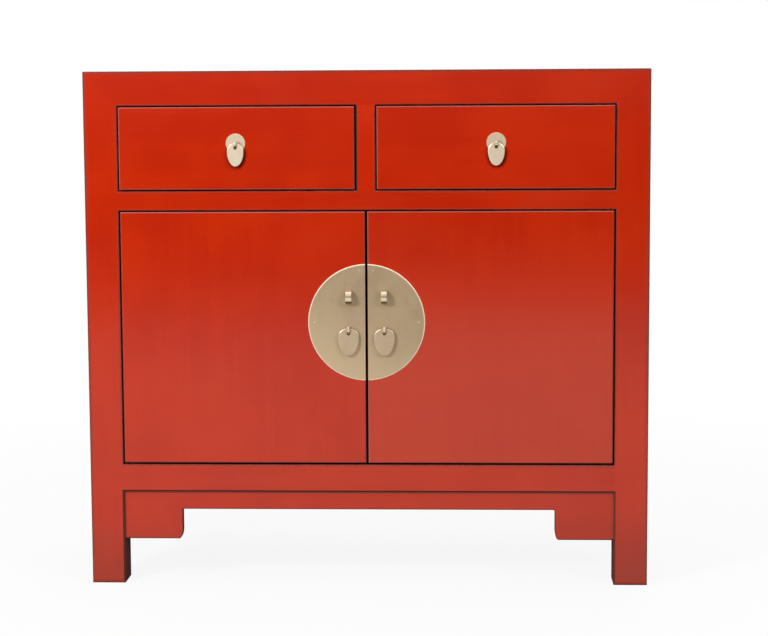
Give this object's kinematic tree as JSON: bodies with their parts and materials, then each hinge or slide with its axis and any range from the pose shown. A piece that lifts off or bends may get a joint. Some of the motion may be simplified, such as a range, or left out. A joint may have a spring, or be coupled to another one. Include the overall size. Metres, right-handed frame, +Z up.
{
  "type": "chinese wedding cabinet",
  "caption": "Low red lacquered cabinet with drawers over flush doors, a round split brass face plate and drop pulls.",
  "frame": {"origin": "on the floor, at the centre of the bounding box of the cabinet with its fittings", "axes": "+X to the right as the front is faced, -Y out of the front, +Z up"},
  "size_m": [0.87, 0.416, 0.8],
  "materials": {
    "red_lacquer": "satin red lacquer over fine grain, edges rubbed dark",
    "inner_wood": "plain oiled wood inside the case",
    "brass": "satin brushed champagne brass"
  },
  "bodies": {
    "carcass": {"back_panels": "inner_wood", "bottom_front_rail": "red_lacquer", "bottom_panel": "inner_wood", "bottom_rear_rail": "red_lacquer", "centre_runner": "inner_wood", "door_stop": "inner_wood", "drawer_divider": "red_lacquer", "drawer_stops": "inner_wood", "front_apron": "red_lacquer", "left_bottom_side_rail": "red_lacquer", "left_front_leg": "red_lacquer", "left_rear_leg": "red_lacquer", "left_side_apron": "red_lacquer", "left_side_panel": "red_lacquer", "left_top_side_rail": "red_lacquer", "rear_waist_rail": "red_lacquer", "right_bottom_side_rail": "red_lacquer", "right_front_leg": "red_lacquer", "right_rear_leg": "red_lacquer", "right_side_apron": "red_lacquer", "right_side_panel": "red_lacquer", "right_top_side_rail": "red_lacquer", "shelf": "inner_wood", "shelf_cleats": "inner_wood", "side_runners": "inner_wood", "top_battens": "inner_wood", "top_front_rail": "red_lacquer", "top_panel": "red_lacquer", "top_rear_rail": "red_lacquer", "waist_rail": "red_lacquer"},
    "left_drawer": {"left_drawer_back": "inner_wood", "left_drawer_backplate": "brass", "left_drawer_bottom": "inner_wood", "left_drawer_cotter": "brass", "left_drawer_front": "red_lacquer", "left_drawer_sides": "inner_wood"},
    "left_drawer_tag": {"left_drawer_tag": "brass"},
    "left_door": {"left_door_battens": "inner_wood", "left_door_cotter": "brass", "left_door_panel": "red_lacquer", "left_door_pivots": "inner_wood", "left_face_plate": "brass", "left_lock_staple": "brass", "left_plate_nails": "brass"},
    "left_door_tag": {"left_door_tag": "brass"},
    "right_drawer": {"right_drawer_back": "inner_wood", "right_drawer_backplate": "brass", "right_drawer_bottom": "inner_wood", "right_drawer_cotter": "brass", "right_drawer_front": "red_lacquer", "right_drawer_sides": "inner_wood"},
    "right_drawer_tag": {"right_drawer_tag": "brass"},
    "right_door": {"right_door_battens": "inner_wood", "right_door_cotter": "brass", "right_door_panel": "red_lacquer", "right_door_pivots": "inner_wood", "right_face_plate": "brass", "right_lock_staple": "brass", "right_plate_nails": "brass"},
    "right_door_tag": {"right_door_tag": "brass"}
  },
  "joints": [
    {"name": "left_drawer_slide", "type": "slide", "parent": "carcass", "child": "left_drawer", "axis": [0, -1, 0], "range_m": [0, 0.26]},
    {"name": "left_drawer_tag_swing", "type": "hinge", "parent": "left_drawer", "child": "left_drawer_tag", "pos_m": [-0.2, -0.1974, 0.6874], "axis": [-1, 0, 0], "range_deg": [-7, 150]},
    {"name": "left_door_hinge", "type": "hinge", "parent": "carcass", "child": "left_door", "pos_m": [-0.369, -0.184, 0.388], "axis": [0, 0, -1], "range_deg": [0, 110]},
    {"name": "left_door_tag_swing", "type": "hinge", "parent": "left_door", "child": "left_door_tag", "pos_m": [-0.0278, -0.1985, 0.402], "axis": [-1, 0, 0], "range_deg": [-5, 150]},
    {"name": "right_drawer_slide", "type": "slide", "parent": "carcass", "child": "right_drawer", "axis": [0, -1, 0], "range_m": [0, 0.26]},
    {"name": "right_drawer_tag_swing", "type": "hinge", "parent": "right_drawer", "child": "right_drawer_tag", "pos_m": [0.2, -0.1974, 0.6874], "axis": [-1, 0, 0], "range_deg": [-7, 150]},
    {"name": "right_door_hinge", "type": "hinge", "parent": "carcass", "child": "right_door", "pos_m": [0.369, -0.184, 0.388], "axis": [0, 0, 1], "range_deg": [0, 110]},
    {"name": "right_door_tag_swing", "type": "hinge", "parent": "right_door", "child": "right_door_tag", "pos_m": [0.0278, -0.1985, 0.402], "axis": [-1, 0, 0], "range_deg": [-5, 150]}
  ]
}
